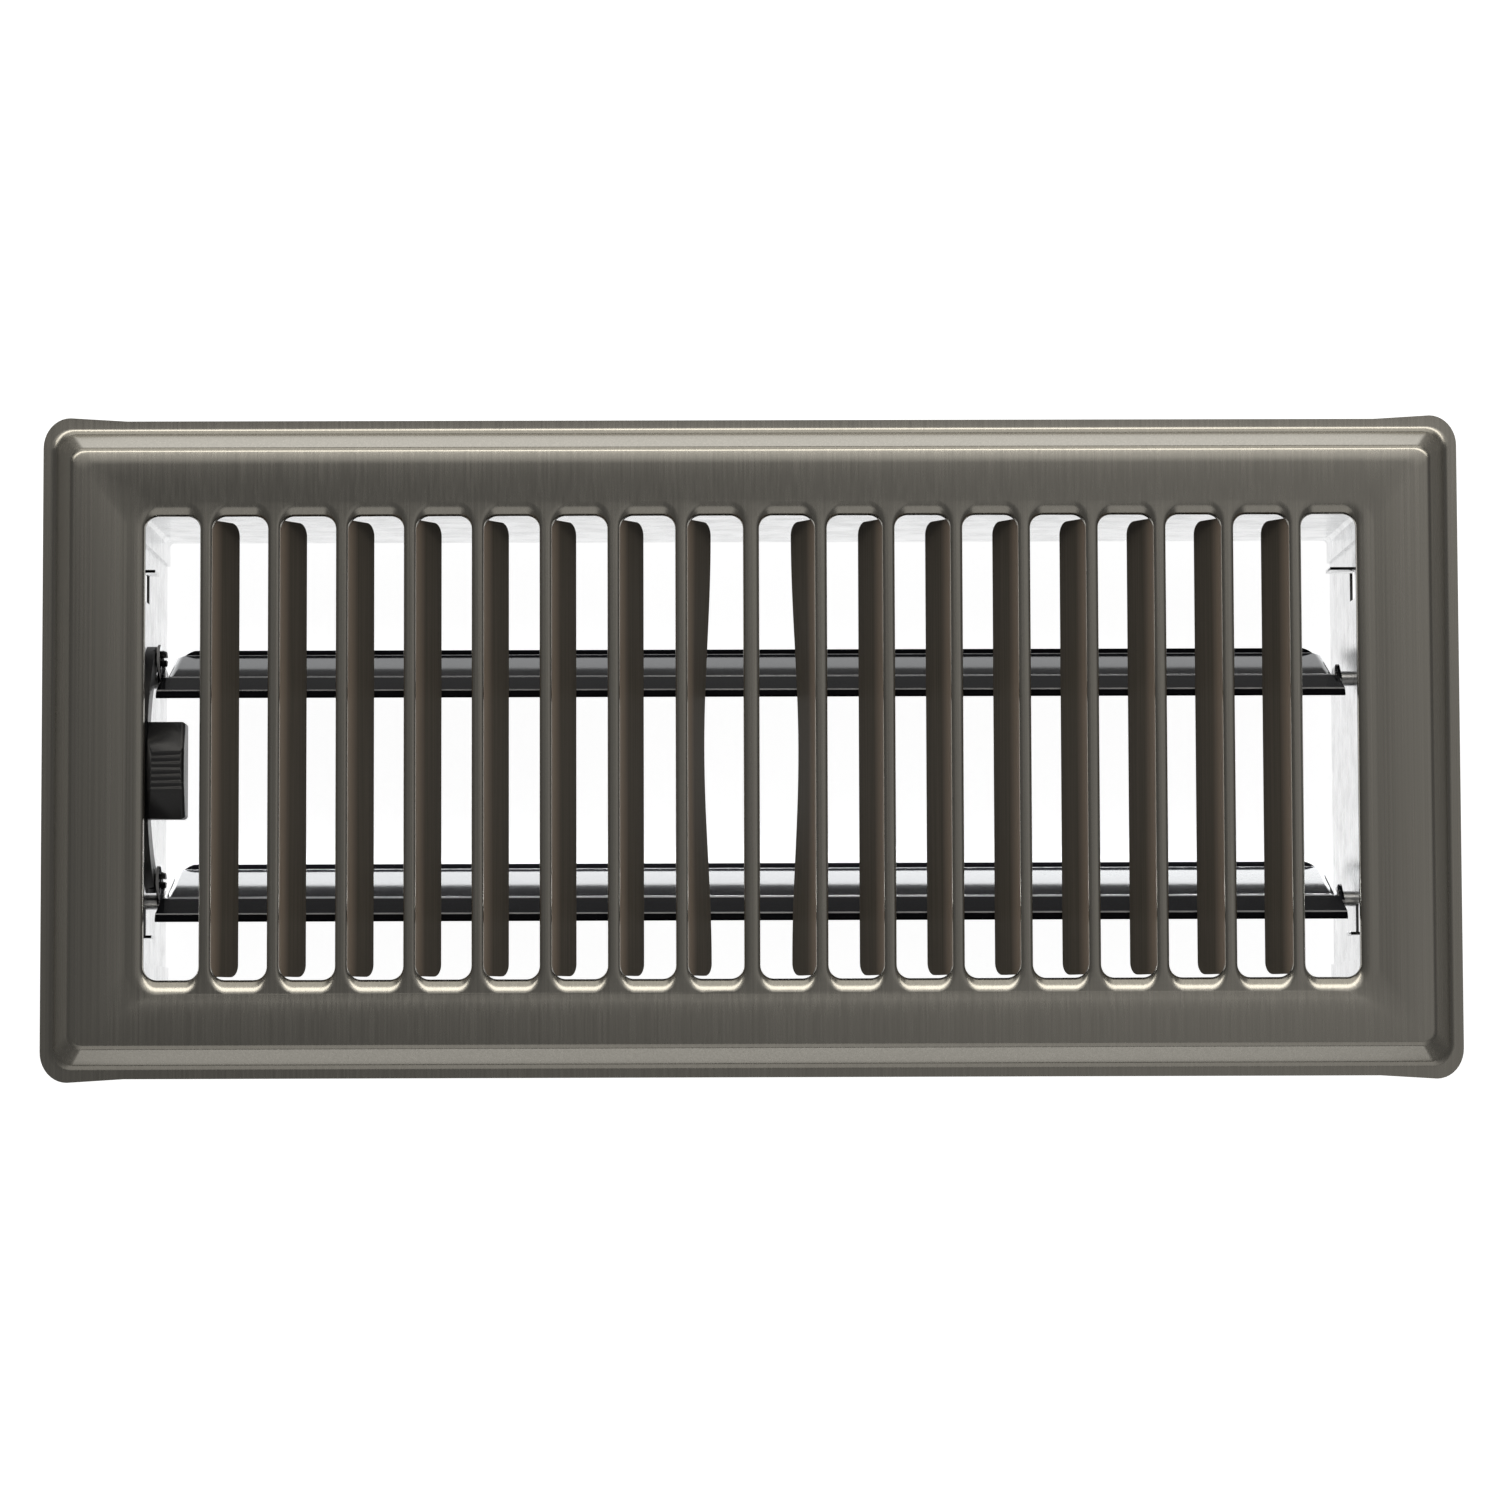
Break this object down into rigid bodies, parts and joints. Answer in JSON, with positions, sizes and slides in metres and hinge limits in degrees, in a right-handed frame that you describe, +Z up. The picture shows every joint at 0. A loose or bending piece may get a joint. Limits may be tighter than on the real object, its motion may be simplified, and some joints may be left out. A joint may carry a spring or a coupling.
{
  "type": "floor register",
  "caption": "Rectangular louvred floor register with a stamped brushed-metal face, rolled slots, bent fins and a lever-worked damper box below.",
  "frame": {"origin": "middle of the damper box's bottom edge, which the register stands on", "axes": "+X along the face away from the thumb lever, +Y to the rear, +Z up out of the face"},
  "size_m": [0.289, 0.1356, 0.0611],
  "materials": {
    "brushed_face": "dark warm grey, brushed across the width, clear lacquer",
    "plated_box": "bright zinc-plated sheet",
    "black_blade": "gloss black paint",
    "black_lever": "moulded black plastic",
    "rivet_steel": "plain steel"
  },
  "bodies": {
    "frame": {"face_plate": "brushed_face", "lever_end_wall": "plated_box", "plain_end_wall": "plated_box", "rear_side_wall": "plated_box", "front_side_wall": "plated_box", "pivot_rivets": "rivet_steel"},
    "rear_damper": {"rear_blade": "black_blade"},
    "front_damper": {"front_blade": "black_blade"},
    "lever": {"damper_lever": "black_lever"}
  },
  "joints": [
    {"name": "rear_blade_pivot", "type": "hinge", "parent": "frame", "child": "rear_damper", "pos_m": [0, 0.01555, 0.03385], "axis": [1, 0, 0], "range_deg": [-12, 73]},
    {"name": "front_blade_pivot", "type": "hinge", "parent": "frame", "child": "front_damper", "pos_m": [0, -0.03035, 0.03385], "axis": [1, 0, 0], "range_deg": [-12, 73]},
    {"name": "lever_pin", "type": "hinge", "parent": "rear_damper", "child": "lever", "pos_m": [-0.1224, 0.01974, 0.03946], "axis": [1, 0, 0], "range_deg": [-73, 12]}
  ],
  "couplings": [
    {"joint": "front_blade_pivot", "follows": "rear_blade_pivot", "ratio": 1},
    {"joint": "lever_pin", "follows": "rear_blade_pivot", "ratio": -1}
  ]
}
